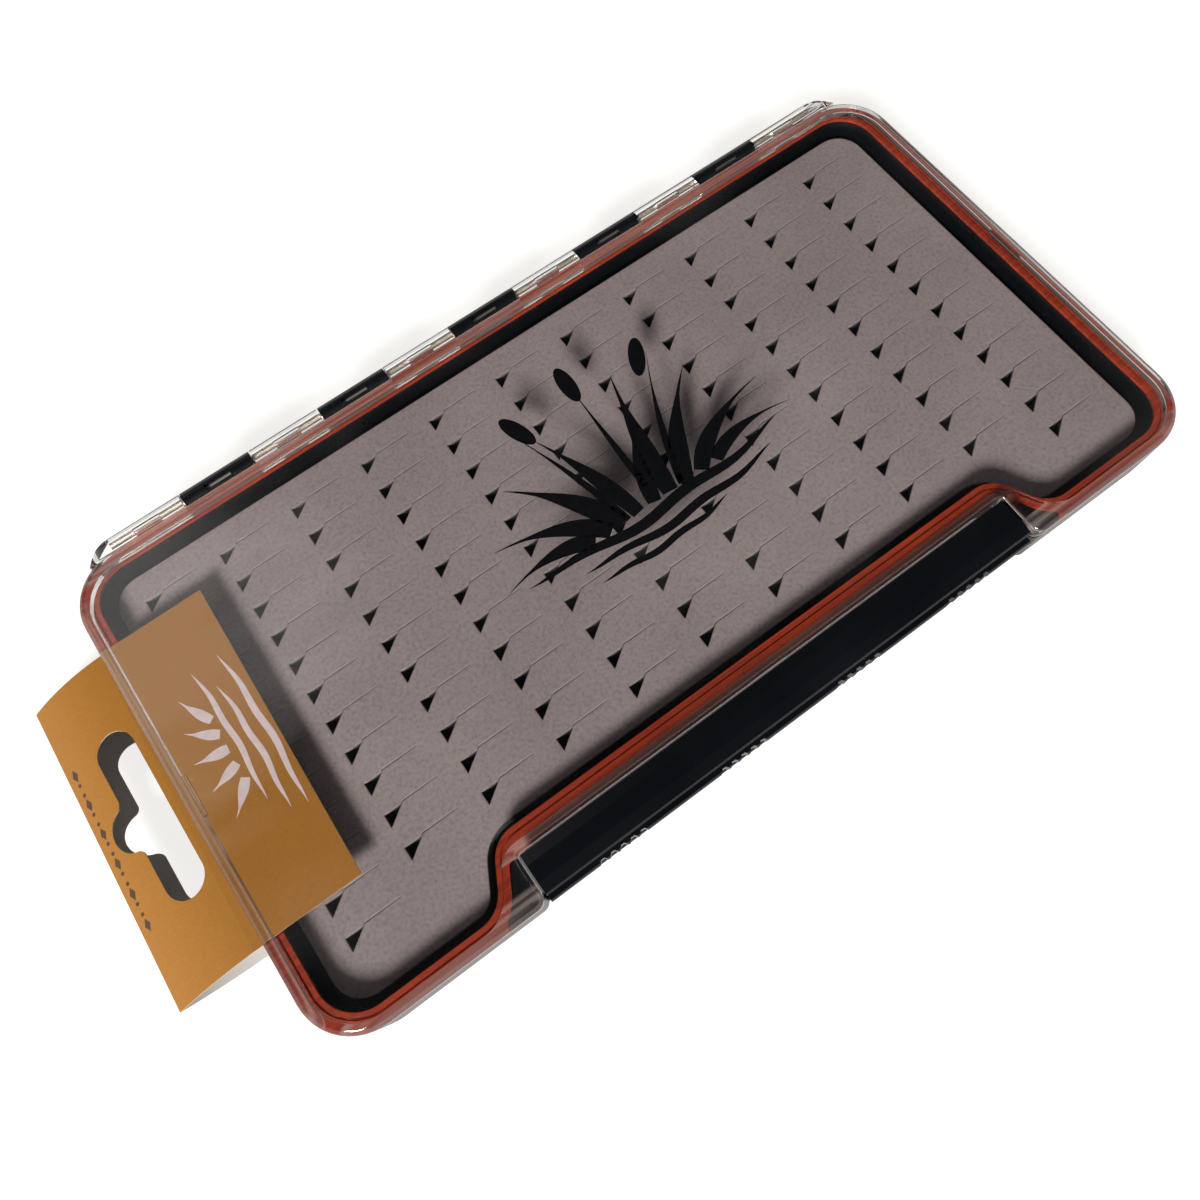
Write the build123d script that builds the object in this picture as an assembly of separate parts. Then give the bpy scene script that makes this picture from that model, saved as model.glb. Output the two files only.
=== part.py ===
from build123d import *
import math
import os

os.makedirs("parts", exist_ok=True)

# All sizes in mm. Origin: middle of the base's resting face. +X along the hinge,
# +Y towards the hinge, +Z up.

# Case
CASE_X = 184.6            # length along the hinge
CASE_FRONT = 48.5         # from the middle to the front face
CASE_CORNER_R = 10.5
FLOOR = 1.8
BASE_H = 9.8              # top of the base's outer lip
RIM = 3.3                 # wall width at the rim, front and ends
RIM_REAR = 2.6            # wall width at the rim, hinge side
FOOT = 1.2                # bevel round the bottom edge
RUNNING_GAP = 0.05        # between faces that must not touch
CAVITY_X = CASE_X / 2 - RIM
CAVITY_Y = CASE_FRONT - RIM
CAVITY_R = CASE_CORNER_R - RIM
CASE_REAR = CAVITY_Y + RIM_REAR

# Finger recess at the front, where the wall steps back behind the latch
LATCH_HALF = 51.6
LATCH_END_GAP = 0.5
POCKET_HALF = LATCH_HALF + LATCH_END_GAP
POCKET_CORNER_R = 2.0
WALL_STEP = 10.2          # how far the cavity wall steps back
STEP_BESIDE = 4.5         # from the pocket's end to the middle of the slanting wall
STEP_SLANT = math.radians(62)
STEP_R = 6.0
BASE_STEP_WALL = 4.0      # thickness of the base's stepped-back wall
LID_STEP_OUT = 0.4        # how far the lid stands over it
STEP_MID = POCKET_HALF + STEP_BESIDE
STEP_Y = CAVITY_Y - WALL_STEP
BASE_POCKET_Y = -STEP_Y - BASE_STEP_WALL
LID_POCKET_Y = BASE_POCKET_Y - LID_STEP_OUT

# Seal
SEAL_W = 2.9
SEAL_W_FRONT = 3.6        # wider along the stepped-back wall
SEAL_W_STEP = 2.25        # narrower on the slant
SEAL_W_REAR = 2.25        # and along the hinge
SEAL_LIP = 0.85           # width of the cap's inner lip
SEAL_SLOT_W = 0.4         # groove between the cap's lips
SEAL_SLOT_DEEP = 0.3
SEAL_STANDS = 0.35        # above the base's outer lip
SEAL_SUNK = 0.3           # below it, to the ledge that the cap lies on
SEAL_TOP = BASE_H + SEAL_STANDS
SEAL_SEAT = BASE_H - SEAL_SUNK
STEM_W = 1.2
STEM_DEPTH = 1.2
STEM_INSET = 0.65
GROOVE_GAP = 0.05

# Lid
LID_FOOT = SEAL_TOP + RUNNING_GAP
LID_H = 2.8               # from the foot of its wall to its top
LID_PLATE = 1.6
LID_WALL = 1.8
LID_WALL_REAR = 2.15
LID_WALL_STEP = 1.0       # from the cavity's edge to the lid's wall on the slant
LID_EDGE_R = 1.5
CASE_H = LID_FOOT + LID_H
LID_UNDER = CASE_H - LID_PLATE
TAB_HALF = 4.0            # small tabs at the middle of each wall
TAB_OUT = 0.6
TAB_UP = 0.4              # from the foot of the wall to the tab
CATCH_SHORT = 0.8         # how much sooner than the latch the flange under it ends
CATCH_HALF = LATCH_HALF - CATCH_SHORT
CATCH_OUT = 2.2           # how far it stands out
CATCH_H = 0.7
CATCH_TOP = LID_FOOT + CATCH_H
BEAD_IN = 0.3             # from the flange's edge to its bead
BEAD_R = 0.2

# Slit mat
MAT_GLUE = 0.2
MAT_H = 4.8
MAT_TOP = FLOOR + MAT_GLUE + MAT_H
MAT_INSET = 1.75          # gap between the mat and the cavity wall
COLUMNS = 11
ROWS = 11
COLUMN_PITCH = 15.42
ROW_PITCH = 6.5
FIRST_Y = 38.1            # top edge of the first notch
SHIFT_X = 0.2             # of the whole pattern, from the middle
NOTCH_W = 3.9             # to the start of the slit
NOTCH_TOP_W = 3.4         # straight part of the top edge
NOTCH_H = 2.5
NOTCH_LEFT = 0.6          # rubber left under the notches
NOTCH_DEEP = MAT_H - NOTCH_LEFT
SLIT_END = 10.7           # end of the slit, from the notch's left edge
SLIT_RISE = 0.3           # how far the slit starts above the notch's top edge
SLIT_DROP = 0.1           # how far it falls to its end
SLIT_W = 0.12
FIRST_X = SHIFT_X - ((COLUMNS - 1) * COLUMN_PITCH + SLIT_END) / 2    # left edge of the first

# Hinge
KNUCKLE_R = 1.8
HINGE_OUT = 1.3           # from the case's rear face to the hinge's axis
HINGE_UP = 1.2            # from the base's outer lip to the axis
HINGE_Y = CASE_REAR + HINGE_OUT
HINGE_Z = BASE_H + HINGE_UP
RELIEF_R = 2.15           # hollow left for the other leaf's knuckles
KNUCKLE_PITCH = 14.8
KNUCKLE_GAP = 0.3
PIN_R = 0.8
PIN_GAP = 0.05
KNUCKLE_END_R = 8.8       # of the curve by which the last knuckles run in to the case
KNUCKLE_END_IN = 4.7      # from the case's end to where they would end without it
PIN_END_IN = 10.8         # from the case's end to the pin's
KNUCKLES_HALF = CASE_X / 2 - KNUCKLE_END_IN
PIN_HALF = CASE_X / 2 - PIN_END_IN
WINDOW_L = 5.3            # slots over the pin, one in each knuckle
WINDOW_IN = (1.2, 0.1)    # how far the slot's edges lie in front of the axis
WEB_DROP = 5.8            # how far the base's webs reach below the axis

# Latch
LATCH_FRONT_Y = -CASE_FRONT
LATCH_GAP = 0.4           # from the lid to the latch
LATCH_BROW = 2.1          # width of the slope beside the lid
LATCH_FRONT = 3.4         # from the front to the flat top
LIP_W = 1.1               # width of the finger lip's top
LATCH_SLOPE = 0.5         # fall of the slopes beside the flat top
LATCH_EDGE = 0.3          # bevel along its edges
LATCH_INNER_Y = LID_POCKET_Y - LATCH_GAP
LATCH_BROW_Y = LATCH_INNER_Y - LATCH_BROW
LATCH_FLAT_Y = LATCH_FRONT_Y + LATCH_FRONT
LATCH_STEP_Y = LATCH_FRONT_Y + LIP_W
LIP_DROP = 2.5            # from the latch's top to the lip's
LIP_TOP = CASE_H - LIP_DROP
LIP_H = 2.0
LIP_OUT = 0.9             # how far the finger lip stands out from the face below it
LATCH_SKIN = 1.3
PIVOT_IN = 1.6            # from the front to the latch's axis
PIVOT_Y = LATCH_FRONT_Y + PIVOT_IN
PIVOT_Z = 2.6
PIVOT_BEAD_R = 1.1
STUB_R = 0.75
STUB_L = 3.4
STUB_GAP = 0.05
HOOK_IN = 0.6             # from the latch's edge to the ridge that snaps over the lid's flange
HOOK_Y = LATCH_INNER_Y - HOOK_IN
HOOK_HALF = 0.2
GRIP_GROUPS = 4
GRIP_SPAN = 0.48 * LATCH_HALF           # from one group of finger grooves to the next
GRIPS = 5
GRIP_PITCH = 2.0
GRIP_W = (1.6, 0.7)       # width at the lip's edge and at the bottom of the groove
GRIP_DEEP = 0.6

# Hang tag
CARD = 0.3
TAG_W = 59.2
TAG_MID_Y = 2.7
TAG_SKEW = 1.6            # degrees by which the fold and the ends are out of square
TAG_LOW = 0.15            # of the turned-back flap, above the ground
TAG_IN = 19.0             # how far the card lies inside the case
TAG_BEND_OUT = 1.4        # from the case's end to where the card starts to droop
TAG_FLAP_OUT = 1.8        # to the end of the turned-back flap
TAG_FOLD_OUT = 17.2       # to the fold
TAG_FOLD_Z = 4.7
TAG_BOW = 1.0             # how far each flap bows out from straight
TAG_SLOT_OUT = 6.3        # to the middle of the hook slot
TAG_SLOT_W = 7.6
TAG_SLOT_L = 32.7
TAG_SLOT_MID_Y = 2.8
TAG_BAY_R = 4.1           # bay in the slot's outer edge
TAG_BAY_FLARE = 1.5       # rounding where the bay opens into the slot
TAG_SLOT_WAY = 0.4        # room round the card where it passes the seal
TAG_Y = (TAG_MID_Y - TAG_W / 2, TAG_MID_Y + TAG_W / 2)


def rounded(corners):
    """Face inside corners given as (x, y, radius), in order round it."""
    arcs = []
    n = len(corners)
    for i, (x, y, r) in enumerate(corners):
        p = Vector(x, y)
        back = (p - Vector(*corners[i - 1][:2])).normalized()
        on = (Vector(*corners[(i + 1) % n][:2]) - p).normalized()
        half_turn = back.get_angle(on) * math.pi / 360
        reach = r * math.tan(half_turn)
        centre = p + (on - back).normalized() * (r / math.cos(half_turn))
        mid = centre + (p - centre).normalized() * r if r else p
        arcs.append((p - back * reach, mid, p + on * reach, r))
    edges = []
    for i, (start, mid, end, r) in enumerate(arcs):
        if r:
            edges.append(Edge.make_three_point_arc(start, mid, end))
        after = arcs[(i + 1) % n][0]
        if (after - end).length > 1e-6:
            edges.append(Edge.make_line(end, after))
    return Face(Wire(edges))


def wall_line(out, front=None, step=None, rear=None):
    """The cavity's edge moved outwards by out, or by its own step at the latch and the hinge."""
    front, step, rear = [out if own is None else own for own in (front, step, rear)]
    x, y, r = CAVITY_X + out, CAVITY_Y + out, CAVITY_R + out
    inner, back = STEP_Y + front, CAVITY_Y + rear
    middle = CAVITY_Y - WALL_STEP / 2

    def slant_x(depth):
        return STEP_MID + (depth - middle) / math.tan(STEP_SLANT) - step / math.sin(STEP_SLANT)

    wide, narrow = STEP_R + step, STEP_R - step
    return rounded([
        (-x, -y, r), (-slant_x(y), -y, wide), (-slant_x(inner), -inner, narrow),
        (slant_x(inner), -inner, narrow), (slant_x(y), -y, wide),
        (x, -y, r), (x, back, r), (-x, back, r),
    ])


def case_line(pocket_y):
    """Outside of the case in plan, with the latch pocket cut in its front."""
    x, y, rear, r = CASE_X / 2, CASE_FRONT, CASE_REAR, CASE_CORNER_R
    p = POCKET_HALF
    return rounded([
        (-x, -y, r), (-p, -y, POCKET_CORNER_R), (-p, pocket_y, 0.8),
        (p, pocket_y, 0.8), (p, -y, POCKET_CORNER_R), (x, -y, r), (x, rear, r), (-x, rear, r),
    ])


def slab(face, low, high):
    return extrude(Pos(0, 0, low) * face, amount=high - low, dir=(0, 0, 1))


def block(x0, x1, y0, y1, z0, z1):
    return Pos((x0 + x1) / 2, (y0 + y1) / 2, (z0 + z1) / 2) * Box(x1 - x0, y1 - y0, z1 - z0)


def bar(points, x0, x1):
    """Solid along X from a (y, z) outline."""
    face = Face(Wire.make_polygon([(x0, y, z) for y, z in points]))
    return extrude(face, amount=x1 - x0, dir=(1, 0, 0))


def rod(r, y, z, x0, x1):
    return Pos((x0 + x1) / 2, y, z) * Rot(0, 90, 0) * Cylinder(r, x1 - x0)


def pivot_rods(r, x0, x1):
    """Rods on the latch's axis, one at each of its ends."""
    return [rod(r, PIVOT_Y, PIVOT_Z, x0, x1), rod(r, PIVOT_Y, PIVOT_Z, -x1, -x0)]


def write(name, shape):
    shape.label = name
    export_step(shape, f"parts/{name}.step")


# ---------------------------------------------------------------- hinge

def knuckle_span(index):
    """X range of knuckle index, -5 to 5; even ones are the base's, odd ones the lid's."""
    middle, half = index * KNUCKLE_PITCH, (KNUCKLE_PITCH - KNUCKLE_GAP) / 2
    low, high = middle - half, middle + half
    if index == 5:
        high = KNUCKLES_HALF
    if index == -5:
        low = -KNUCKLES_HALF
    return low, high


BASE_KNUCKLES = [i for i in range(-5, 6) if i % 2 == 0]
LID_KNUCKLES = [i for i in range(-5, 6) if i % 2]


def windows(indices):
    """Slots in the tops of the knuckles, down to the pin."""
    half = WINDOW_L / 2
    y0, y1 = HINGE_Y - WINDOW_IN[0], HINGE_Y - WINDOW_IN[1]
    return [
        block(i * KNUCKLE_PITCH - half, i * KNUCKLE_PITCH + half, y0, y1,
              HINGE_Z - PIN_R / 2, HINGE_Z + KNUCKLE_R + 1)
        for i in indices
    ]


def reliefs(indices):
    """Hollows round the other leaf's knuckles, for the swing."""
    found = []
    for i in indices:
        low, high = knuckle_span(i)
        found.append(rod(RELIEF_R, HINGE_Y, HINGE_Z, low - KNUCKLE_GAP, high + KNUCKLE_GAP))
    return found


def lid_notches():
    """Openings in the lid's edge in which the base's knuckles lie."""
    found = []
    for i in BASE_KNUCKLES:
        low, high = knuckle_span(i)
        found.append(block(low - KNUCKLE_GAP, high + KNUCKLE_GAP, HINGE_Y - RELIEF_R,
                           HINGE_Y + RELIEF_R, LID_FOOT - 1, CASE_H + 1))
    return found


def base_knuckles():
    wall = CASE_REAR - RIM_REAR / 2
    side, down = 0.8 * KNUCKLE_R, 0.6 * KNUCKLE_R
    web = [(wall, HINGE_Z - WEB_DROP), (HINGE_Y + side, HINGE_Z - down), (HINGE_Y, HINGE_Z),
           (HINGE_Y - KNUCKLE_R, HINGE_Z), (HINGE_Y - KNUCKLE_R, BASE_H), (wall, BASE_H)]
    found = []
    for i in BASE_KNUCKLES:
        low, high = knuckle_span(i)
        found += [rod(KNUCKLE_R, HINGE_Y, HINGE_Z, low, high), bar(web, low, high)]
    return found


def knuckle_plan():
    """Plan of the hinge, with its two ends curving in to the case's rear face."""
    x, back, r = KNUCKLES_HALF, HINGE_Y + KNUCKLE_R, KNUCKLE_END_R
    return rounded([(-x, back - 2 * r, 0), (x, back - 2 * r, 0), (x, back, r), (-x, back, r)])


def lid_knuckles():
    top = HINGE_Z + KNUCKLE_R
    wall = CASE_REAR - LID_WALL_REAR / 2
    web = [(wall, LID_FOOT), (HINGE_Y, LID_FOOT), (HINGE_Y, top), (wall, top)]
    found = []
    for i in LID_KNUCKLES:
        low, high = knuckle_span(i)
        found += [rod(KNUCKLE_R, HINGE_Y, HINGE_Z, low, high), bar(web, low, high)]
    plan = slab(knuckle_plan(), HINGE_Z - KNUCKLE_R - 1, top + 1)
    return [shape & plan for shape in found[:2]] + found[2:-2] + [
        shape & plan for shape in found[-2:]]


def pin_bore():
    """Bore for the hinge pin: closed at one end and open at the other."""
    return rod(PIN_R + PIN_GAP, HINGE_Y, HINGE_Z, -PIN_HALF - RUNNING_GAP, KNUCKLES_HALF + 1)


def hinge_pin():
    return rod(PIN_R, HINGE_Y, HINGE_Z, -PIN_HALF, PIN_HALF)


# ---------------------------------------------------------------- base

def seal_groove():
    inner = STEM_INSET - GROOVE_GAP
    outer = STEM_INSET + STEM_W + GROOVE_GAP
    return slab(wall_line(outer), SEAL_SEAT - STEM_DEPTH - GROOVE_GAP, BASE_H) - slab(
        wall_line(inner), 0, BASE_H + 1)


def base():
    body = slab(case_line(BASE_POCKET_Y), 0, BASE_H)
    low = [e for e in body.edges() if e.center().Z < 0.01]
    body = chamfer(low, FOOT)
    body = body.cut(*reliefs(LID_KNUCKLES)).fuse(*base_knuckles())
    gap = GROOVE_GAP
    ledge = wall_line(SEAL_W + gap, SEAL_W_FRONT + gap, SEAL_W_STEP + gap, SEAL_W_REAR + gap)
    body = body.cut(
        slab(wall_line(0), FLOOR, BASE_H + 1),
        slab(ledge, SEAL_SEAT, BASE_H + 1),
        seal_groove(),
    )
    sockets = pivot_rods(STUB_R + STUB_GAP, POCKET_HALF, LATCH_HALF + STUB_L + 2 * STUB_GAP)
    return body.cut(pin_bore(), *windows(BASE_KNUCKLES), *sockets).clean()


# ---------------------------------------------------------------- mat

def mat_face():
    return wall_line(-MAT_INSET)


def notch_cut(x, y):
    """Three-cornered hole for a hook's bend, with the fine slit that runs on from it to a point."""
    w, rise = SLIT_W / 2, SLIT_RISE
    line = [
        (0, 0), (0, -NOTCH_H), (NOTCH_W, rise - w), (SLIT_END, rise - SLIT_DROP),
        (NOTCH_W - w, rise + w), (NOTCH_TOP_W, 0),
    ]
    low = MAT_TOP - NOTCH_DEEP
    face = Face(Wire.make_polygon([(x + u, y + v, low) for u, v in line]))
    return extrude(face, amount=NOTCH_DEEP + 1, dir=(0, 0, 1))


def notch_places():
    places = [
        (FIRST_X + c * COLUMN_PITCH, FIRST_Y - r * ROW_PITCH)
        for r in range(ROWS) for c in range(COLUMNS)
    ]
    last = FIRST_Y - ROWS * ROW_PITCH
    return places + [(FIRST_X, last), (FIRST_X + (COLUMNS - 1) * COLUMN_PITCH, last)]


def slit_mat():
    mat = slab(mat_face(), FLOOR + MAT_GLUE, MAT_TOP)
    return mat.cut(*[notch_cut(x, y) for x, y in notch_places()])


def mat_glue():
    return slab(wall_line(-MAT_INSET - 1.0), FLOOR, FLOOR + MAT_GLUE)


# ---------------------------------------------------------------- seal

def seal_ring():
    edge = wall_line(SEAL_W, SEAL_W_FRONT, SEAL_W_STEP, SEAL_W_REAR)
    cap = slab(edge, SEAL_SEAT, SEAL_TOP) - slab(
        wall_line(RUNNING_GAP / 2), SEAL_SEAT - 1, SEAL_TOP + 1)
    stem = slab(wall_line(STEM_INSET + STEM_W), SEAL_SEAT - STEM_DEPTH, SEAL_SEAT) - slab(
        wall_line(STEM_INSET), SEAL_SEAT - STEM_DEPTH - 1, SEAL_SEAT + 1)
    slot = slab(wall_line(SEAL_LIP + SEAL_SLOT_W), SEAL_TOP - SEAL_SLOT_DEEP, SEAL_TOP + 1) - slab(
        wall_line(SEAL_LIP), SEAL_SEAT, SEAL_TOP + 2)
    card_way = block(-CASE_X / 2 - 1, -CAVITY_X + 1, TAG_Y[0] - TAG_SLOT_WAY,
                     TAG_Y[1] + TAG_SLOT_WAY, BASE_H, SEAL_TOP + 1)
    return cap.fuse(stem).cut(slot, card_way).clean()


# ---------------------------------------------------------------- lid

def lid_wall_inside():
    front = -LID_POCKET_Y - LID_WALL - STEP_Y
    return wall_line(RIM - LID_WALL, front, LID_WALL_STEP, RIM_REAR - LID_WALL_REAR)


def lid_tabs():
    """Small tabs on the inside of the wall, at the middle of each side."""
    x = CASE_X / 2 - LID_WALL
    y, rear = LID_POCKET_Y + LID_WALL, CASE_REAR - LID_WALL_REAR
    low, high, deep = LID_FOOT + TAB_UP, LID_UNDER + RUNNING_GAP, LID_WALL / 4
    return [
        block(x - TAB_OUT, x + deep, -TAB_HALF, TAB_HALF, low, high),
        block(-x - deep, -x + TAB_OUT, -TAB_HALF, TAB_HALF, low, high),
        block(-TAB_HALF, TAB_HALF, y - deep, y + TAB_OUT, low, high),
        block(-TAB_HALF, TAB_HALF, rear - TAB_OUT, rear + deep, low, high),
    ]


def catch_flange():
    """Thin flange and its bead, that the latch closes over."""
    inside, edge = LID_POCKET_Y + LID_WALL / 4, LID_POCKET_Y - CATCH_OUT
    flange = block(-CATCH_HALF, CATCH_HALF, edge, inside, LID_FOOT, CATCH_TOP)
    bead = rod(BEAD_R, edge + BEAD_IN, CATCH_TOP, -CATCH_HALF, CATCH_HALF)
    return [flange, bead]


def lid():
    body = slab(case_line(LID_POCKET_Y), LID_FOOT, CASE_H)
    high = [e for e in body.edges() if e.center().Z > CASE_H - 0.01]
    body = fillet(high, LID_EDGE_R)
    body = body.cut(slab(lid_wall_inside(), LID_FOOT - 1, LID_UNDER), *lid_notches())
    body = body.fuse(*lid_tabs(), *catch_flange(), *lid_knuckles())
    return body.cut(pin_bore(), *windows(LID_KNUCKLES)).clean()


# ---------------------------------------------------------------- latch

def latch_profile():
    front, inner, step = LATCH_FRONT_Y, LATCH_INNER_Y, LATCH_STEP_Y
    face = front + LIP_OUT
    slope = CASE_H - LATCH_SLOPE
    hook = CATCH_TOP + RUNNING_GAP
    return [
        (inner, slope), (LATCH_BROW_Y, CASE_H), (LATCH_FLAT_Y, CASE_H),
        (step + LATCH_EDGE, slope), (step, slope - LATCH_EDGE), (step, LIP_TOP),
        (front + LATCH_EDGE, LIP_TOP), (front, LIP_TOP - LATCH_EDGE), (front, LIP_TOP - LIP_H),
        (face, LIP_TOP - LIP_H - LIP_OUT), (face, PIVOT_Z), (face + LATCH_SKIN, PIVOT_Z),
        (face + LATCH_SKIN, LIP_TOP - LATCH_SKIN), (step + LATCH_SKIN, LIP_TOP - LATCH_EDGE),
        (step + LATCH_SKIN, LID_UNDER), (HOOK_Y - 2 * HOOK_HALF, LID_UNDER),
        (HOOK_Y - HOOK_HALF, hook), (HOOK_Y + HOOK_HALF, hook), (inner, LID_UNDER),
    ]


def grips():
    """Finger grooves across the edge of the lip, in groups."""
    wide, narrow = GRIP_W[0] / 2, GRIP_W[1] / 2
    y, low = LATCH_FRONT_Y, LIP_TOP - LIP_H - LIP_OUT
    grooves = []
    for g in range(GRIP_GROUPS):
        middle = (g - (GRIP_GROUPS - 1) / 2) * GRIP_SPAN
        for k in range(GRIPS):
            x = middle + (k - (GRIPS - 1) / 2) * GRIP_PITCH
            plan = [(x - wide, y), (x + wide, y), (x + narrow, y + GRIP_DEEP),
                    (x - narrow, y + GRIP_DEEP)]
            face = Face(Wire.make_polygon([(a, b, low) for a, b in plan]))
            grooves.append(extrude(face, amount=CASE_H - low, dir=(0, 0, 1)))
    return grooves


def latch_bar():
    body = bar(latch_profile(), -LATCH_HALF, LATCH_HALF)
    body = body.cut(*grips())
    body = body.fuse(rod(PIVOT_BEAD_R, PIVOT_Y, PIVOT_Z, -LATCH_HALF, LATCH_HALF))
    stubs = pivot_rods(STUB_R, LATCH_HALF - 1, LATCH_HALF + STUB_L)
    return body.fuse(*stubs).clean()


# ---------------------------------------------------------------- hang tag

def bowed(start, end, bow):
    """Arc between two (x, z) points that stands out by bow, to the left of the way from start to end."""
    (x0, z0), (x1, z1) = start, end
    chord = math.hypot(x1 - x0, z1 - z0)
    mid = ((x0 + x1) / 2 - (z1 - z0) / chord * bow, (z0 + z1) / 2 + (x1 - x0) / chord * bow)
    return Edge.make_three_point_arc(*[Vector(x, 0, z) for x, z in (start, mid, end)])


def tag_line():
    """Inner side of the folded card, from inside the case round the fold to the flap's end."""
    wall, flat, low = -CASE_X / 2, BASE_H + RUNNING_GAP, TAG_LOW + CARD
    bend, fold, end = (wall - TAG_BEND_OUT, flat), (wall - TAG_FOLD_OUT, TAG_FOLD_Z), (
        wall - TAG_FLAP_OUT, low)
    inside = Edge.make_line(Vector(wall + TAG_IN, 0, flat), Vector(bend[0], 0, flat))
    return Wire([inside, bowed(bend, fold, -TAG_BOW), bowed(fold, end, -TAG_BOW)])


def hook_slot():
    """Round-ended slot for a shop's hook, with a flared bay in its outer edge."""
    x, y = -CASE_X / 2 - TAG_SLOT_OUT, TAG_SLOT_MID_Y
    plan = Pos(x, y) * SlotOverall(TAG_SLOT_L, TAG_SLOT_W, rotation=90) + Pos(
        x - TAG_SLOT_W / 2, y) * Circle(TAG_BAY_R)
    mouth = [v for v in plan.vertices() if abs(v.Y - y) < TAG_BAY_R + RUNNING_GAP]
    return slab(fillet(mouth, TAG_BAY_FLARE), -CARD, CASE_H)


def hang_tag():
    """Folded card, turned a little out of square between its two straight sides."""
    face = Face(tag_line().offset_2d(CARD, Kind.ARC, Side.LEFT))
    strip = extrude(face, amount=TAG_W, dir=(0, 1, 0), both=True)
    centre = Pos(-CASE_X / 2, TAG_MID_Y, 0)
    strip = centre * Rot(0, 0, -TAG_SKEW) * Pos(CASE_X / 2, 0, 0) * strip
    sides = block(-CASE_X, 0, *TAG_Y, -1, CASE_H)
    return (strip & sides) - hook_slot()


write("base", base())
write("slit_mat", slit_mat())
write("mat_glue_film", mat_glue())
write("seal_ring", seal_ring())
write("lid", lid())
write("hinge_pin", hinge_pin())
write("latch_bar", latch_bar())
write("hang_tag", hang_tag())
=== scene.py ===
import math

import bmesh
import bpy
from mathutils import Matrix, Vector


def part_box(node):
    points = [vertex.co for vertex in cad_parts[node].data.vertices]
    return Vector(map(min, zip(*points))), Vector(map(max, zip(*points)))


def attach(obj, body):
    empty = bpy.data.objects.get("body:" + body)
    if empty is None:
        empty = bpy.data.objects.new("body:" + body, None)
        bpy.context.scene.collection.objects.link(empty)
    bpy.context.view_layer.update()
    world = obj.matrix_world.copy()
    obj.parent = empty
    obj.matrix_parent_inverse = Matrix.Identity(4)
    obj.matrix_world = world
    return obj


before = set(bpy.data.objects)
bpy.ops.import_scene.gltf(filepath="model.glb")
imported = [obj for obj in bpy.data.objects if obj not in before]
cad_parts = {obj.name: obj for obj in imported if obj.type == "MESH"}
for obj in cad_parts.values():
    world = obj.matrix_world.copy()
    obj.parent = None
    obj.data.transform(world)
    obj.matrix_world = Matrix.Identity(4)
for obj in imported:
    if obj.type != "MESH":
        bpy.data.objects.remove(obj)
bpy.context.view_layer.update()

MM = 0.001

# silicone mat
MAT_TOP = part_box("slit_mat")[1][2]
CUT_SHADE_TOP = 0.05 * MM       # depth down to which a cut's wall has the mat's tone, above the painted shade
CUT_SHADE_DEEP = 1.0 * MM       # depth at which the painted shade in a cut is dark
CUT_LIP = 0.40 * MM       # rounding of the cuts' edges
NOTCH_X = -82.25 * MM     # left edge of the first notch
NOTCH_Y = 38.1 * MM       # top edge of the first notch
COLUMN_PITCH = 15.42 * MM
ROW_PITCH = 6.5 * MM
FULL_ROWS = 11            # one more row has notches in its end columns only
SLIT_START = 3.9 * MM     # from the notch's left edge
SLIT_END = 10.7 * MM
SLIT_UP = 0.25 * MM       # above the notch's top edge
# half width of the painted shade line along each slit
SLIT_HALF = 0.07 * MM
SLIT_SHADE_TONE = 0.72          # how far the slit's painted shade line goes to its dark colour
# painted highlight on the slit's upper lip: its half width, then how far it goes to its pale
# colour
LIP_HIGHLIGHT_HALF = 0.10 * MM
LIP_HIGHLIGHT_TONE = 0.6
END_COLUMNS = 69.5 * MM   # the slits of the end columns lie farther out

# card tag
TAG_FOLD_Z = 4.7 * MM
CUT_FACING = 0.25         # a face whose normal rises less than this is a cut edge

# ink
INK_LIFT = 0.01 * MM      # gap between a face and the ink on it
INK_FILM = 0.02 * MM
CAST_FROM = 100.0 * MM    # height from which a motif is laid down on its face

# lid
LID_FOOT = 10.2 * MM
FOOT_NEAR = 0.05 * MM
FOOT_REFLECTION_SHARE = 0.30          # share of painted reflection, a streaked beige diffuse, on the wall's foot where it lies on the seal
SIDE_WALLS = 90.0 * MM    # the painted reflection's streaks run along Y from here out
END_WALLS = 44.5 * MM     # front and rear walls start here
STEP_WALL = (-39.6 * MM, -36.5 * MM)   # wall beside the latch
STEP_HALF = 56.0 * MM

# motif on the lid, in mm
MOTIF_FOOT = -3.5
# leaves: x of the foot, y of the tip, lean, width
LEAVES = [
    (-7.0, 11.5, -12.0, 3.6), (-4.5, 17.0, -8.0, 4.0), (-1.0, 20.5, -4.0, 3.2),
    (2.5, 13.0, 3.5, 3.2), (6.0, 23.0, 3.0, 3.8), (9.5, 18.0, 8.0, 3.8),
    (13.0, 12.0, 12.5, 3.4), (16.5, 6.0, 12.5, 2.8), (-10.5, 5.5, -12.5, 3.2),
]
# rushes: x of the foot, y of the tip, lean
RUSHES = [(-3.2, 24.0, -5.5), (3.0, 26.5, 0.6), (8.5, 23.5, 8.2)]
STALK = 1.4
RUSH_HEAD = (8.4, 3.2)
# water: x and y of the middle, half length, rise of the ends, width
WATER = [
    (3.0, -5.4, 28.0, 2.2, 2.1), (5.5, -8.6, 21.0, 1.6, 1.7), (0.0, -11.2, 14.0, 1.0, 1.3),
]

# motif on the card, in mm, drawn lengthways about its middle; water as on the lid
TAG_WATER = [
    (0.0, -5.2, 16.0, 0.8, 1.2), (-2.0, -2.4, 13.0, 0.7, 1.1), (2.0, 0.2, 13.5, 0.7, 1.1),
]
# leaves: x and y of the foot, from there to the tip, width
TAG_LEAVES = [
    (-6.0, 2.0, -5.5, 4.0, 1.9), (-3.0, 2.0, -2.5, 5.6, 1.9), (0.0, 2.0, 0.4, 6.2, 2.0),
    (3.0, 2.0, 3.2, 5.4, 1.9), (6.0, 2.0, 6.2, 3.8, 1.8),
]
TAG_MOTIF_AT = (-80.0, 4.0)

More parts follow.
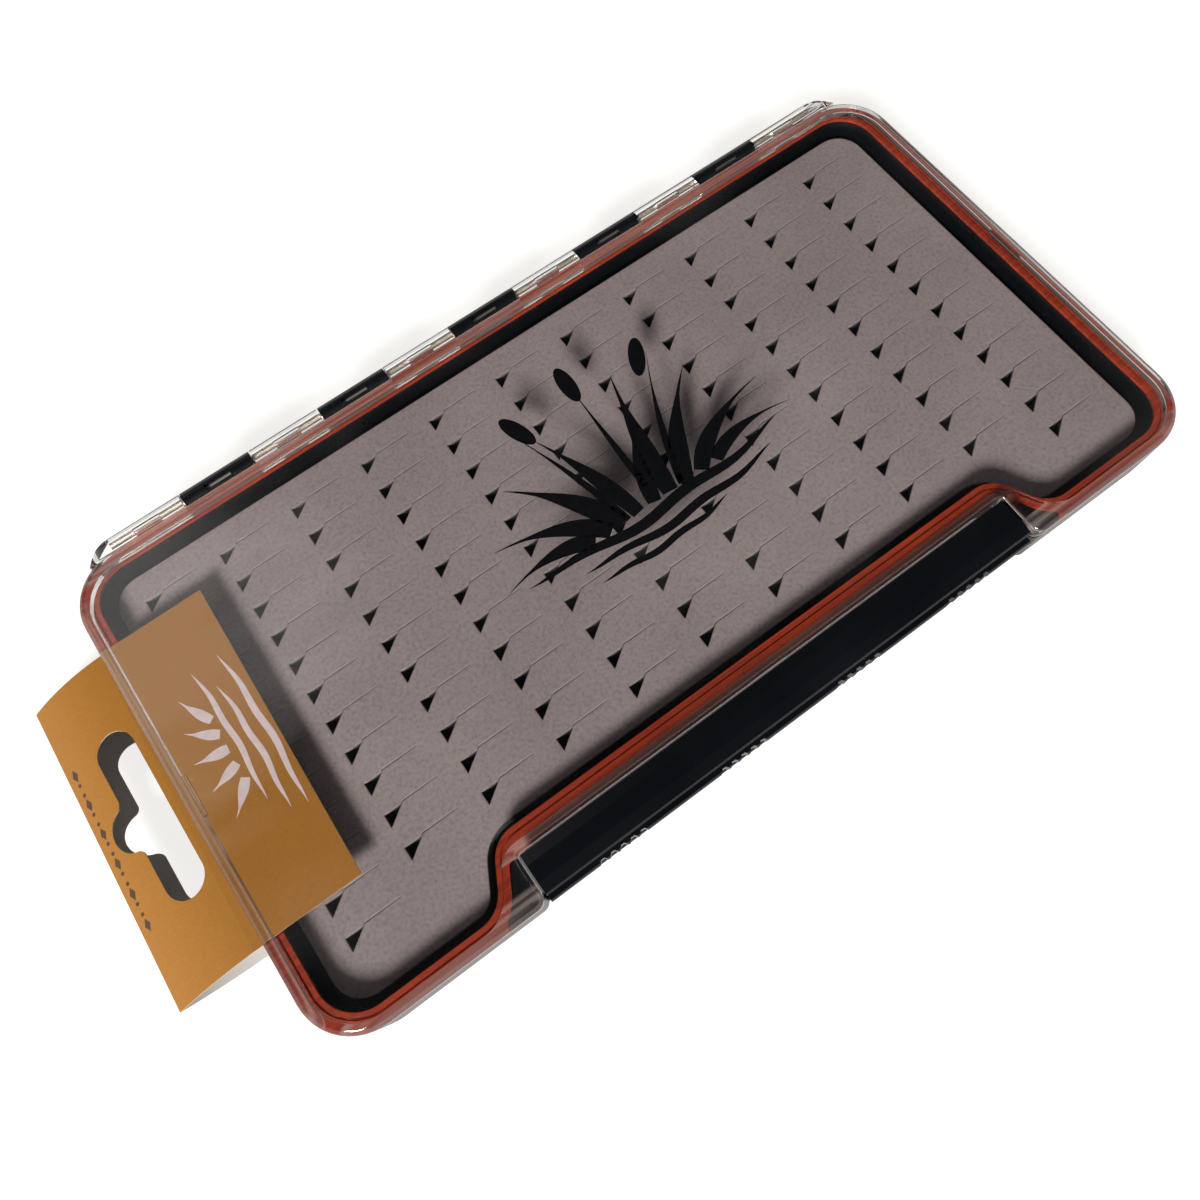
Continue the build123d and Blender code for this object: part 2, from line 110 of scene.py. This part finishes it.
# row of marks beside the card's fold, in mm
MARKS = 16
MARKS_X = (-108.3, -107.5)
MARKS_Y = (-12.0, 17.5)
DOT = (0.7, 0.7)
LOZENGE = (2.4, 1.3)

# light
STUDIO = 0.11                     # level that dull surfaces get from all round
FLOOR_HALF = 8.0
FLOOR_UNDER = 0.3 * MM
FLOOR_SEEN = 0.82                 # its glow to the eye
FLOOR_IN_GLOSS = 0.35             # in gloss, and once more through a clear piece
SWEEP_TOP = (0.36, 0.56)          # rise over which the white sweep gives way to the dim ceiling
WINDOW_AT = (-0.27, 0.50, 0.82)   # direction of a pale patch overhead
WINDOW_LEVEL = 0.85
WINDOW_EDGE = (0.22, 0.36)        # distance over which it fades
WINDOW_WAVE = 0.22
KEY_WAY = Vector((-0.75, -0.66, 0.58)).normalized()
KEY_FAR = 2.3
KEY_SIZE = (0.60, 0.50)
KEY_WATTS = 86.0
KEY_COLOUR = (1.0, 0.98, 0.96)

# camera
CAMERA_AT = (-0.041538, -0.058580, 0.168765)
CAMERA_TURN = (0.3222247, 0.0402772, -0.6243372)
CAMERA_SENSOR = 36.0
CAMERA_LENS = 28.492


# ------------------------------------------------------------------ node helpers

def new_material(name):
    material = bpy.data.materials.new(name)
    material.use_nodes = True
    tree = material.node_tree
    tree.nodes.clear()
    return material, tree


def add(tree, kind, **inputs):
    node = tree.nodes.new(kind)
    for key, value in inputs.items():
        if hasattr(node, key):
            setattr(node, key, value)
        else:
            node.inputs[key.replace("_", " ")].default_value = value
    return node


def link(tree, a, out, b, into):
    tree.links.new(a.outputs[out], b.inputs[into])


def object_place(tree, scale=(1.0, 1.0, 1.0)):
    """Object coordinates, stretched by scale."""
    coord = add(tree, "ShaderNodeTexCoord")
    mapping = add(tree, "ShaderNodeMapping")
    mapping.inputs["Scale"].default_value = scale
    link(tree, coord, "Object", mapping, "Vector")
    return mapping


def object_xyz(tree, out="Object"):
    """X, Y and Z of the object coordinates, or of the normal in them."""
    coord = add(tree, "ShaderNodeTexCoord")
    parts = add(tree, "ShaderNodeSeparateXYZ")
    link(tree, coord, out, parts, "Vector")
    return parts


def noise(tree, place, scale, detail=4.0, roughness=0.5):
    node = add(tree, "ShaderNodeTexNoise")
    node.inputs["Scale"].default_value = scale
    node.inputs["Detail"].default_value = detail
    node.inputs["Roughness"].default_value = roughness
    link(tree, place, "Vector", node, "Vector")
    return node


def ramp(tree, source, out, stops):
    node = add(tree, "ShaderNodeValToRGB")
    band = node.color_ramp
    while len(band.elements) > len(stops):
        band.elements.remove(band.elements[-1])
    while len(band.elements) < len(stops):
        band.elements.new(1.0)
    for element, (at, colour) in zip(band.elements, stops):
        element.position = at
        element.color = (*colour, 1.0)
    link(tree, source, out, node, "Fac")
    return node


def span(tree, source, out, low, high, from_low=0.0, from_high=1.0):
    """Value from from_low..from_high spread over low..high."""
    node = add(tree, "ShaderNodeMapRange")
    node.inputs["From Min"].default_value = from_low
    node.inputs["From Max"].default_value = from_high
    node.inputs["To Min"].default_value = low
    node.inputs["To Max"].default_value = high
    link(tree, source, out, node, "Value")
    return node


def calc(tree, operation, *terms):
    """Maths on sockets and numbers."""
    node = add(tree, "ShaderNodeMath", operation=operation)
    for socket, term in zip(node.inputs, terms):
        if isinstance(term, (int, float)):
            socket.default_value = term
        else:
            tree.links.new(term, socket)
    return node.outputs[0]


def near(tree, value, middle, half):
    """1 within half of middle, else 0."""
    return calc(tree, "COMPARE", value, middle, half)


def bump(tree, source, out, strength, distance, under=None):
    node = add(tree, "ShaderNodeBump")
    node.inputs["Strength"].default_value = strength
    node.inputs["Distance"].default_value = distance
    link(tree, source, out, node, "Height")
    if under:
        link(tree, under, "Normal", node, "Normal")
    return node


def surface(tree, **values):
    node = add(tree, "ShaderNodeBsdfPrincipled")
    for key, value in values.items():
        node.inputs[key.replace("_", " ")].default_value = value
    return node


def mixed(tree, share, first, second, blend="MIX"):
    """Colour between two colours, each a socket or a plain one; share is a socket or a number."""
    node = add(tree, "ShaderNodeMix", data_type="RGBA", blend_type=blend)
    if isinstance(share, float):
        node.inputs[0].default_value = share
    else:
        tree.links.new(share, node.inputs[0])
    for socket, colour in ((6, first), (7, second)):
        if isinstance(colour, tuple):
            node.inputs[socket].default_value = (*colour, 1.0)
        else:
            tree.links.new(colour, node.inputs[socket])
    return node.outputs[2]


def output(tree, shader, out="BSDF"):
    end = add(tree, "ShaderNodeOutputMaterial")
    link(tree, shader, out, end, "Surface")


# ------------------------------------------------------------------ finishes

def black_moulding(name, roughness, speck):
    """Black moulded plastic: faint flow marks, dust-fine pits and rubbed patches."""
    material, tree = new_material(name)
    place = object_place(tree)
    shade = surface(tree, IOR=1.48)
    cloud = noise(tree, place, 60.0, 3.0)
    rubbed = span(tree, cloud, "Fac", roughness - 0.04, roughness + 0.07)
    link(tree, rubbed, "Result", shade, "Roughness")
    tone = ramp(tree, cloud, "Fac", [
        (0.3, (0.0026, 0.0032, 0.0044)), (0.75, (0.0046, 0.0054, 0.0070))])
    link(tree, tone, "Color", shade, "Base Color")
    flow = noise(tree, object_place(tree, (1.0, 6.0, 6.0)), 45.0, 2.0)
    low = bump(tree, flow, "Fac", 0.06, 0.0004)
    grain = noise(tree, place, 2600.0, 2.0, 0.6)
    high = bump(tree, grain, "Fac", speck, 0.00001, under=low)
    link(tree, high, "Normal", shade, "Normal")
    output(tree, shade)
    return material


def painted_slit_light(tree, place):
    """Masks of the painted shade line along the closed slit beside each notch and of the painted
    highlight on the lip above it.
    """
    x, y = place.outputs["X"], place.outputs["Y"]
    column = calc(tree, "WRAP", x, NOTCH_X + COLUMN_PITCH, NOTCH_X)
    middle = NOTCH_Y + SLIT_UP
    row = calc(tree, "WRAP", y, middle + ROW_PITCH / 2, middle - ROW_PITCH / 2)
    beside = near(tree, column, NOTCH_X + (SLIT_START + SLIT_END) / 2, (SLIT_END - SLIT_START) / 2)
    last = NOTCH_Y - FULL_ROWS * ROW_PITCH
    inner = calc(tree, "GREATER_THAN", y, last + ROW_PITCH / 2)
    ends = calc(tree, "GREATER_THAN", calc(tree, "ABSOLUTE", x), END_COLUMNS)
    ends = calc(tree, "MULTIPLY", ends, calc(tree, "GREATER_THAN", y, last - ROW_PITCH / 2))
    rows = calc(tree, "MAXIMUM", inner, ends)
    slits = calc(tree, "MULTIPLY", beside, rows)
    slit_shade = calc(tree, "MULTIPLY", slits, near(tree, row, middle, SLIT_HALF))
    lip_highlight = calc(tree, "MULTIPLY", slits, near(
        tree, row, middle + SLIT_HALF + LIP_HIGHLIGHT_HALF, LIP_HIGHLIGHT_HALF))
    return slit_shade, lip_highlight


def mat_rubber():
    """Grey silicone: cast grain, specks, rounded cut lips; painted shade deep in its cuts, a
    painted shade line along each slit and a painted highlight above it.
    """
    material, tree = new_material("mat_silicone_grey")
    place = object_place(tree)
    shade = surface(tree, Roughness=0.66, IOR=1.41, Sheen_Weight=0.08, Sheen_Roughness=0.5)
    cloud = noise(tree, place, 38.0, 4.0, 0.55)
    tone = ramp(tree, cloud, "Fac", [
        (0.30, (0.272, 0.229, 0.234)), (0.52, (0.300, 0.254, 0.259)),
        (0.72, (0.328, 0.279, 0.282))])
    dust = noise(tree, place, 1500.0, 3.0, 0.6)
    specks = ramp(tree, dust, "Fac", [
        (0.30, (1.12, 1.12, 1.12)), (0.50, (1.0, 1.0, 1.0)), (0.66, (0.82, 0.82, 0.82))])
    top_tone = mixed(tree, 1.0, tone.outputs["Color"], specks.outputs["Color"], "MULTIPLY")
    place_in_node = object_xyz(tree)
    slit_shade, lip_highlight = painted_slit_light(tree, place_in_node)
    # painted shade line in each closed slit and painted highlight on its upper lip
    slit_shaded = mixed(tree, calc(tree, "MULTIPLY", slit_shade, SLIT_SHADE_TONE), top_tone, (0.030, 0.024, 0.024))
    lip_highlighted = mixed(tree, calc(tree, "MULTIPLY", lip_highlight, LIP_HIGHLIGHT_TONE), slit_shaded, (0.44, 0.39, 0.39))
    # painted shade: each cut's wall darkens to near black with depth below the mat's top
    cut_unshaded = span(tree, place_in_node, "Z", 0.0, 1.0, MAT_TOP - CUT_SHADE_DEEP, MAT_TOP - CUT_SHADE_TOP)
    both = mixed(tree, cut_unshaded.outputs["Result"], (0.004, 0.004, 0.004), lip_highlighted)
    tree.links.new(both, shade.inputs["Base Color"])
    lips = add(tree, "ShaderNodeBevel", samples=6)
    lips.inputs["Radius"].default_value = CUT_LIP
    grain = noise(tree, place, 3200.0, 3.0, 0.65)
    pores = noise(tree, place, 800.0, 2.0, 0.5)
    low = bump(tree, pores, "Fac", 0.22, 0.00006, under=lips)
    high = bump(tree, grain, "Fac", 0.30, 0.00003, under=low)
    link(tree, high, "Normal", shade, "Normal")
    output(tree, shade)
    return material


def seal_rubber():
    """Orange-red silicone gasket with fine drawn lines and a moulded grain."""
    material, tree = new_material("seal_silicone_red")
    place = object_place(tree)
    shade = surface(tree, Roughness=0.38, IOR=1.41, Subsurface_Weight=0.10,
                    Subsurface_Scale=0.0005, Subsurface_Radius=(1.0, 0.25, 0.12))
    cloud = noise(tree, place, 70.0, 3.0)
    tone = ramp(tree, cloud, "Fac", [
        (0.3, (0.270, 0.028, 0.010)), (0.7, (0.390, 0.046, 0.014))])
    lines = noise(tree, object_place(tree, (0.01, 1.0, 1.0)), 1500.0, 1.0)
    streaks = ramp(tree, lines, "Fac", [(0.38, (0.72, 0.66, 0.66)), (0.60, (1.1, 1.1, 1.1))])
    drawn = mixed(tree, 1.0, tone.outputs["Color"], streaks.outputs["Color"], "MULTIPLY")
    tree.links.new(drawn, shade.inputs["Base Color"])
    grain = noise(tree, place, 2500.0, 2.0, 0.6)
    low = bump(tree, lines, "Fac", 0.35, 0.00005)
    high = bump(tree, grain, "Fac", 0.2, 0.00002, under=low)
    link(tree, high, "Normal", shade, "Normal")
    output(tree, shade)
    return material


def painted_foot_reflection(tree):
    """Mask of the wall's foot where it lies on the seal, and a streaked beige diffuse shader that
    paints reflection there.
    """
    at = object_xyz(tree)
    foot = near(tree, at.outputs["Z"], LID_FOOT, FOOT_NEAR)
    from_middle = calc(tree, "ABSOLUTE", at.outputs["X"])
    sides = calc(tree, "GREATER_THAN", from_middle, SIDE_WALLS)
    ends = calc(tree, "GREATER_THAN", calc(tree, "ABSOLUTE", at.outputs["Y"]), END_WALLS)
    step = calc(tree, "MULTIPLY", calc(tree, "LESS_THAN", from_middle, STEP_HALF),
                near(tree, at.outputs["Y"], sum(STEP_WALL) / 2, (STEP_WALL[1] - STEP_WALL[0]) / 2))
    walls = calc(tree, "MAXIMUM", calc(tree, "MAXIMUM", sides, ends), step)
    along_y = noise(tree, object_place(tree, (1.0, 0.01, 1.0)), 1400.0, 2.0)
    along_x = noise(tree, object_place(tree, (0.01, 1.0, 1.0)), 1400.0, 2.0)
    lines = add(tree, "ShaderNodeMix", data_type="FLOAT")
    for socket, source in ((0, sides), (2, along_x.outputs["Fac"]), (3, along_y.outputs["Fac"])):
        tree.links.new(source, lines.inputs[socket])
    reflection_streaks = ramp(tree, lines, 0, [
        (0.36, (0.120, 0.080, 0.075)), (0.50, (0.400, 0.330, 0.300)),
        (0.64, (0.640, 0.560, 0.520))])
    foot_reflection = add(tree, "ShaderNodeBsdfDiffuse")
    link(tree, reflection_streaks, "Color", foot_reflection, "Color")
    return calc(tree, "MULTIPLY", foot, walls), foot_reflection


def clear_moulding():
    """Clear plastic, a little warm: faint flow ripple, fine scuffs, and painted reflection on the
    wall's foot.
    """
    material, tree = new_material("lid_clear")
    place = object_place(tree)
    shade = surface(tree, Base_Color=(0.972, 0.962, 0.950, 1.0), IOR=1.52,
                    Transmission_Weight=1.0)
    scuff = noise(tree, object_place(tree, (1.0, 5.0, 1.0)), 500.0, 3.0, 0.7)
    rough = span(tree, scuff, "Fac", 0.008, 0.035)
    link(tree, rough, "Result", shade, "Roughness")
    ripple = noise(tree, place, 30.0, 2.0, 0.4)
    low = bump(tree, ripple, "Fac", 0.10, 0.0010)
    link(tree, low, "Normal", shade, "Normal")
    # painted reflection: streaked beige diffuse mixed into the wall's foot
    reflection_mask, foot_reflection = painted_foot_reflection(tree)
    with_foot_reflection = add(tree, "ShaderNodeMixShader")
    tree.links.new(calc(tree, "MULTIPLY", reflection_mask, FOOT_REFLECTION_SHARE), with_foot_reflection.inputs[0])
    tree.links.new(shade.outputs["BSDF"], with_foot_reflection.inputs[1])
    tree.links.new(foot_reflection.outputs["BSDF"], with_foot_reflection.inputs[2])
    through = add(tree, "ShaderNodeBsdfTransparent")
    through.inputs["Color"].default_value = (0.93, 0.925, 0.915, 1.0)
    path = add(tree, "ShaderNodeLightPath")
    either = add(tree, "ShaderNodeMixShader")
    # a ray toward a lamp, or one that left a dull surface, goes straight through
    straight = calc(tree, "MAXIMUM", path.outputs["Is Shadow Ray"], path.outputs["Is Diffuse Ray"])
    tree.links.new(straight, either.inputs[0])
    tree.links.new(with_foot_reflection.outputs[0], either.inputs[1])
    tree.links.new(through.outputs["BSDF"], either.inputs[2])
    output(tree, either, "Shader")
    return material


def pin_steel():
    """Drawn steel wire: fine lines along its length."""
    material, tree = new_material("pin_drawn_steel")
    shade = surface(tree, Base_Color=(0.60, 0.54, 0.46, 1.0), Metallic=1.0)
    lines = noise(tree, object_place(tree, (0.02, 1.0, 1.0)), 4000.0, 2.0)
    rough = span(tree, lines, "Fac", 0.34, 0.52)
    link(tree, rough, "Result", shade, "Roughness")
    high = bump(tree, lines, "Fac", 0.3, 0.00001)
    link(tree, high, "Normal", shade, "Normal")
    output(tree, shade)
    return material


def glue_film():
    """Milky adhesive film with a faint mottle."""
    material, tree = new_material("glue_film_milky")
    place = object_place(tree)
    shade = surface(tree, Roughness=0.4, IOR=1.45)
    cloud = noise(tree, place, 200.0, 3.0)
    tone = ramp(tree, cloud, "Fac", [(0.3, (0.62, 0.60, 0.52)), (0.7, (0.75, 0.73, 0.66))])
    link(tree, tone, "Color", shade, "Base Color")
    link(tree, bump(tree, cloud, "Fac", 0.2, 0.00005), "Normal", shade, "Normal")
    output(tree, shade)
    return material


def card_stock():
    """Coated card: ochre on its printed side, white inside the fold, pale at its cut edges."""
    material, tree = new_material("tag_card_ochre")
    shade = surface(tree, Roughness=0.5, IOR=1.48)
    fibres = noise(tree, object_place(tree, (1.0, 3.0, 1.0)), 900.0, 4.0, 0.6)
    cloud = noise(tree, object_place(tree), 55.0, 2.0)
    ochre = ramp(tree, fibres, "Fac", [(0.3, (0.330, 0.136, 0.016)), (0.7, (0.378, 0.160, 0.021))])
    white = ramp(tree, cloud, "Fac", [(0.3, (0.74, 0.70, 0.66)), (0.7, (0.80, 0.76, 0.72))])
    height = object_xyz(tree).outputs["Z"]
    facing = object_xyz(tree, "Normal").outputs["Z"]
    # 1 over the fold and -1 under it: on the printed side its product with facing is above zero
    flap = calc(tree, "MULTIPLY_ADD", calc(tree, "GREATER_THAN", height, TAG_FOLD_Z), 2.0, -1.0)
    ink_side = calc(tree, "GREATER_THAN", calc(tree, "MULTIPLY", flap, facing), 0.0)
    cut = calc(tree, "LESS_THAN", calc(tree, "ABSOLUTE", facing), CUT_FACING)
    faces = mixed(tree, ink_side, white.outputs["Color"], ochre.outputs["Color"])
    whole = mixed(tree, cut, faces, (0.62, 0.48, 0.34))
    tree.links.new(whole, shade.inputs["Base Color"])
    link(tree, bump(tree, fibres, "Fac", 0.25, 0.00004), "Normal", shade, "Normal")
    output(tree, shade)
    return material


def print_ink(name, thin, full, roughness):
    """Pad-printed ink film, slightly uneven."""
    material, tree = new_material(name)
    place = object_place(tree)
    shade = surface(tree, Roughness=roughness, IOR=1.48)
    cloud = noise(tree, place, 700.0, 3.0)
    tone = ramp(tree, cloud, "Fac", [(0.3, thin), (0.7, full)])
    link(tree, tone, "Color", shade, "Base Color")
    link(tree, bump(tree, cloud, "Fac", 0.12, 0.00002), "Normal", shade, "Normal")
    output(tree, shade)
    return material


def dress(node, material):
    """Puts one finish on every slot of a CAD node."""
    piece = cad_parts[node]
    if not piece.material_slots:
        piece.data.materials.append(material)
    for slot in piece.material_slots:
        slot.material = material


dress("base", black_moulding("base_black", 0.26, 0.05))
dress("latch_bar", black_moulding("latch_black", 0.22, 0.04))
dress("slit_mat", mat_rubber())
dress("seal_ring", seal_rubber())
dress("lid", clear_moulding())
dress("hinge_pin", pin_steel())
dress("mat_glue_film", glue_film())
dress("hang_tag", card_stock())


# ------------------------------------------------------------------ printed motifs

def reed(bm, foot, tip, lean, width):
    """Leaf from foot to tip in plan, pointed at its tip, bowed sideways by lean."""
    strip = bmesh.ops.create_grid(bm, x_segments=1, y_segments=16, size=0.5)["verts"]
    along = Vector(tip) - Vector(foot)
    across = Vector((along.y, -along.x)).normalized()
    for v in strip:
        t = v.co.y + 0.5
        swell = (0.35 + 0.65 * math.sin(math.pi * min(1.0, 0.25 + t))) * (1 - t ** 3)
        side = v.co.x * width * swell + lean * t * t
        v.co = (*(Vector(foot) + along * t + across * side), 0)


def ripple(bm, middle, half, rise, width):
    """Line of water, widest at its middle, its ends turned up by rise."""
    strip = bmesh.ops.create_grid(bm, x_segments=24, y_segments=1, size=0.5)["verts"]
    for v in strip:
        u = v.co.x * 2
        wave = 0.25 * rise * math.sin(u * math.pi * 2.5)
        y = rise * u * u + wave + v.co.y * width * (1 - abs(u) ** 2.5)
        v.co = (middle[0] + half * u, middle[1] + y, 0)


def oval(bm, middle, long, wide, turn=0.0):
    """Ellipse, long along Y before its turn."""
    ring = bmesh.ops.create_circle(bm, cap_ends=True, segments=28, radius=0.5)["verts"]
    bmesh.ops.scale(bm, vec=(wide, long, 1), verts=ring)
    bmesh.ops.rotate(bm, verts=ring, cent=(0, 0, 0), matrix=Matrix.Rotation(turn, 3, "Z"))
    bmesh.ops.translate(bm, vec=(*middle, 0), verts=ring)


def lozenge(bm, middle, long, wide):
    """Small four-cornered mark."""
    ring = bmesh.ops.create_circle(bm, cap_ends=True, segments=4, radius=0.5)["verts"]
    bmesh.ops.scale(bm, vec=(wide, long, 1), verts=ring)
    bmesh.ops.translate(bm, vec=(*middle, 0), verts=ring)


def printed(name, bm, node, body, ink):
    """Lays flat shapes drawn in mm on a node's upper face as a film of ink that rides on body."""
    bmesh.ops.scale(bm, vec=(MM, MM, MM), verts=bm.verts)
    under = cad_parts[node]
    for v in bm.verts:
        hit, place, _, _ = under.ray_cast(Vector((v.co.x, v.co.y, CAST_FROM)), Vector((0, 0, -1)))
        v.co.z = (place.z if hit else 0.0) + INK_LIFT
    bmesh.ops.solidify(bm, geom=bm.faces[:], thickness=-INK_FILM)
    bmesh.ops.recalc_face_normals(bm, faces=bm.faces)
    mesh = bpy.data.meshes.new(name)
    bm.to_mesh(mesh)
    bm.free()
    piece = bpy.data.objects.new(name, mesh)
    bpy.context.scene.collection.objects.link(piece)
    mesh.materials.append(ink)
    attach(piece, body)


def lid_motif():
    """Stand of rushes over water, in black on the lid."""
    bm = bmesh.new()
    for x, top, lean, width in LEAVES:
        reed(bm, (x, MOTIF_FOOT), (x + lean, top), lean * 0.8, width)
    for x, top, lean in RUSHES:
        reed(bm, (x, MOTIF_FOOT), (x + lean, top), lean * 0.4, STALK)
        turn = -math.atan2(lean * 1.8, top - MOTIF_FOOT)
        oval(bm, (x + lean * 1.12, top - 1.0), *RUSH_HEAD, turn)
    for x, y, half, rise, width in WATER:
        ripple(bm, (x, y), half, rise, width)
    printed("lid_motif", bm, "lid", "lid", print_ink(
        "ink_black", (0.0025, 0.0028, 0.0034), (0.0042, 0.0046, 0.0056), 0.22))


def tag_motif():
    """Rows of ripples and a sprig of leaves, in pale ink on the card."""
    bm = bmesh.new()
    for x, y, half, rise, width in TAG_WATER:
        ripple(bm, (x, y), half, rise, width)
    for x, y, dx, dy, width in TAG_LEAVES:
        reed(bm, (x, y), (x + dx, y + dy), 0.6, width)
    # drawn lengthways, then turned to run along the card
    quarter = Matrix.Rotation(math.pi / 2, 3, "Z")
    bmesh.ops.rotate(bm, verts=bm.verts, cent=(0, 0, 0), matrix=quarter)
    bmesh.ops.translate(bm, vec=(*TAG_MOTIF_AT, 0), verts=bm.verts)
    printed("tag_motif", bm, "hang_tag", "tag", print_ink(
        "ink_pale", (0.66, 0.55, 0.56), (0.76, 0.64, 0.65), 0.5))


def tag_marks():
    """Row of small dark lozenges and dots beside the fold."""
    bm = bmesh.new()
    for k in range(MARKS):
        share = k / (MARKS - 1)
        y = MARKS_Y[0] + (MARKS_Y[1] - MARKS_Y[0]) * share
        x = MARKS_X[0] + (MARKS_X[1] - MARKS_X[0]) * share
        if k % 3:
            oval(bm, (x, y), *DOT)
        else:
            lozenge(bm, (x, y), *LOZENGE)
    printed("tag_marks", bm, "hang_tag", "tag", print_ink(
        "ink_brown", (0.050, 0.024, 0.010), (0.070, 0.034, 0.014), 0.5))


lid_motif()
tag_motif()
tag_marks()


# ------------------------------------------------------------------ stage, lamps, camera

def level(tree, path, *steps):
    """Sum of a Light Path's outputs, each times its own level."""
    total = 0.0
    for out, strength in steps:
        total = calc(tree, "MULTIPLY_ADD", path.outputs[out], strength, total)
    return total


def pale_floor():
    """White floor that keeps a soft shadow; a ray through a clear piece is glossy as well."""
    material, tree = new_material("floor_pale")
    path = add(tree, "ShaderNodeLightPath")
    plain = add(tree, "ShaderNodeBsdfDiffuse")
    plain.inputs["Color"].default_value = (0.45, 0.44, 0.42, 1.0)
    glow = add(tree, "ShaderNodeEmission")
    strength = level(tree, path, ("Is Camera Ray", FLOOR_SEEN),
                     ("Is Transmission Ray", FLOOR_IN_GLOSS), ("Is Glossy Ray", FLOOR_IN_GLOSS))
    tree.links.new(strength, glow.inputs["Strength"])
    glow.inputs["Color"].default_value = (1.0, 0.985, 0.965, 1.0)
    both = add(tree, "ShaderNodeAddShader")
    tree.links.new(plain.outputs[0], both.inputs[0])
    tree.links.new(glow.outputs[0], both.inputs[1])
    output(tree, both, "Shader")
    bm = bmesh.new()
    bmesh.ops.create_grid(bm, x_segments=2, y_segments=2, size=FLOOR_HALF)
    bmesh.ops.translate(bm, vec=(0, 0, -FLOOR_UNDER), verts=bm.verts)
    mesh = bpy.data.meshes.new("floor")
    bm.to_mesh(mesh)
    bm.free()
    floor = bpy.data.objects.new("floor", mesh)
    bpy.context.scene.collection.objects.link(floor)
    mesh.materials.append(material)


def window_light(tree, coord):
    """Share of the soft pale patch overhead, with a wavy edge."""
    far = add(tree, "ShaderNodeVectorMath", operation="DISTANCE")
    link(tree, coord, "Generated", far, 0)
    far.inputs[1].default_value = WINDOW_AT
    drawn_out = add(tree, "ShaderNodeMapping")
    drawn_out.inputs["Rotation"].default_value = (0, 0, 0.6)
    drawn_out.inputs["Scale"].default_value = (0.5, 2.4, 1.0)
    link(tree, coord, "Generated", drawn_out, "Vector")
    waves = noise(tree, drawn_out, 9.0, 2.0)
    edge = calc(tree, "MULTIPLY_ADD", waves.outputs["Fac"], WINDOW_WAVE, far.outputs["Value"])
    return span(tree, edge.node, 0, WINDOW_LEVEL, 0.0, *WINDOW_EDGE)


def room():
    """White sweep with a dim ceiling over it, the same to the eye, in gloss and through glass."""
    world = bpy.data.worlds.new("room")
    bpy.context.scene.world = world
    world.use_nodes = True
    tree = world.node_tree
    tree.nodes.clear()
    path = add(tree, "ShaderNodeLightPath")
    studio = add(tree, "ShaderNodeBackground")
    studio.inputs["Color"].default_value = (1.0, 0.97, 0.95, 1)
    studio.inputs["Strength"].default_value = STUDIO
    coord = add(tree, "ShaderNodeTexCoord")
    patches = add(tree, "ShaderNodeTexNoise")
    patches.inputs["Scale"].default_value = 6.5
    patches.inputs["Detail"].default_value = 1.0
    link(tree, coord, "Generated", patches, "Vector")
    ceiling = ramp(tree, patches, "Fac", [
        (0.42, (0.012, 0.014, 0.018)), (0.56, (0.034, 0.034, 0.036)),
        (0.68, (0.16, 0.155, 0.15))])
    way = add(tree, "ShaderNodeSeparateXYZ")
    link(tree, coord, "Generated", way, "Vector")
    rise = span(tree, way, "Z", 0.0, 1.0, *SWEEP_TOP)
    window = window_light(tree, coord)
    overhead = mixed(tree, window.outputs["Result"], ceiling.outputs["Color"], (1.0, 0.98, 0.95))
    both = mixed(tree, rise.outputs["Result"], (1.0, 1.0, 1.0), overhead)
    around = add(tree, "ShaderNodeBackground")
    tree.links.new(both, around.inputs["Color"])
    around.inputs["Strength"].default_value = 1.0
    shader = studio
    for out, seen in (("Is Glossy Ray", around), ("Is Transmission Ray", around),
                      ("Is Camera Ray", around)):
        mix = add(tree, "ShaderNodeMixShader")
        link(tree, path, out, mix, 0)
        tree.links.new(shader.outputs[0], mix.inputs[1])
        tree.links.new(seen.outputs[0], mix.inputs[2])
        shader = mix
    end = add(tree, "ShaderNodeOutputWorld")
    tree.links.new(shader.outputs[0], end.inputs["Surface"])


def lamp(name, place, aim, size, watts, colour):
    """Square-cornered area lamp at place, facing aim."""
    light = bpy.data.lights.new(name, "AREA")
    light.shape = "RECTANGLE"
    light.size, light.size_y = size
    light.energy = watts
    light.color = colour
    holder = bpy.data.objects.new(name, light)
    bpy.context.scene.collection.objects.link(holder)
    holder.location = place
    holder.rotation_euler = (Vector(aim) - Vector(place)).to_track_quat("-Z", "Y").to_euler()


def camera():
    data = bpy.data.cameras.new("camera")
    data.sensor_fit = "HORIZONTAL"
    data.sensor_width = CAMERA_SENSOR
    data.lens = CAMERA_LENS
    data.clip_start, data.clip_end = 0.01, 20.0
    holder = bpy.data.objects.new("camera", data)
    bpy.context.scene.collection.objects.link(holder)
    holder.location = CAMERA_AT
    holder.rotation_euler = CAMERA_TURN
    bpy.context.scene.camera = holder


pale_floor()
room()
lamp("key", KEY_WAY * KEY_FAR, (0, 0, 0), KEY_SIZE, KEY_WATTS, KEY_COLOUR)
camera()

bpy.context.scene.view_settings.view_transform = "Standard"
